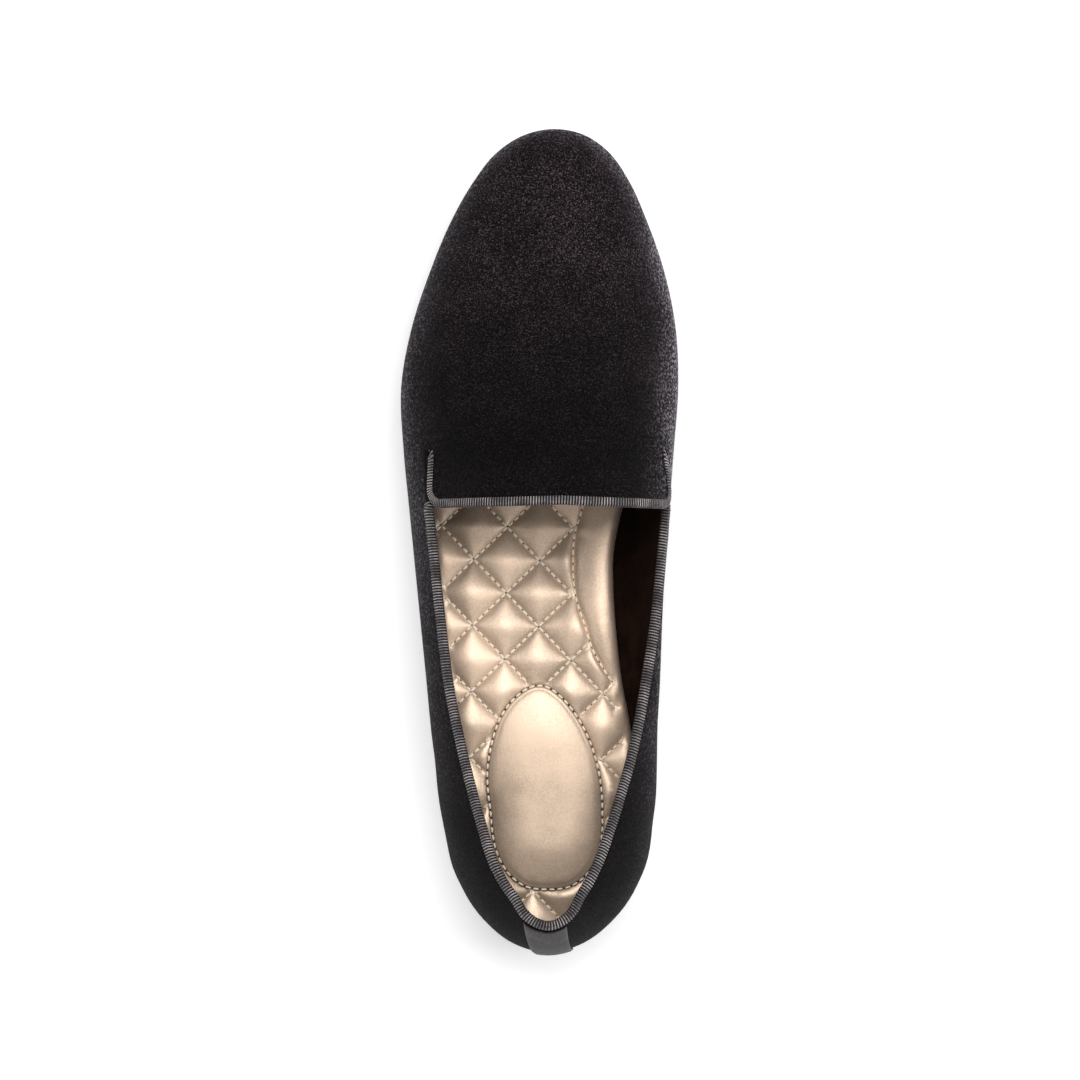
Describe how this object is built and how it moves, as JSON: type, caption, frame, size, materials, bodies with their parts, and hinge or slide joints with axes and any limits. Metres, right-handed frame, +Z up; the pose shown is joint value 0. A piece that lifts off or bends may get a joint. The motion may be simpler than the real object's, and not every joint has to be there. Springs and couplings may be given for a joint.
{
  "type": "velvet slipper loafer",
  "caption": "Low velvet smoking slipper for the left foot: almond toe, bound tab over the instep, ribbed tape round the collar and down the heel, quilted satin insole and a thin heeled sole.",
  "frame": {"origin": "on the floor, under the middle of the heel, 30 mm in front of the back of the last", "axes": "+Y towards the toe, +X towards the inner side of the left foot, +Z up"},
  "size_m": [0.0843, 0.2509, 0.0635],
  "materials": {
    "velvet": "black velvet pile, silvery at grazing angles",
    "collar_tape": "ribbed charcoal tape, folded over the edge",
    "tab_tape": "ribbed charcoal tape, folded over the edge",
    "heel_tape": "ribbed charcoal tape",
    "quilted_satin": "champagne satin, quilted with cream thread",
    "pad_satin": "smooth champagne satin over padding",
    "sole_rubber": "matte black rubber",
    "heel_rubber": "matte black rubber"
  },
  "bodies": {
    "root": {"upper": "velvet", "topline_binding": "collar_tape", "vamp_binding": "tab_tape", "heel_strip": "heel_tape", "insole": "quilted_satin", "heel_pad": "pad_satin", "outsole": "sole_rubber", "heel": "heel_rubber"}
  },
  "joints": []
}
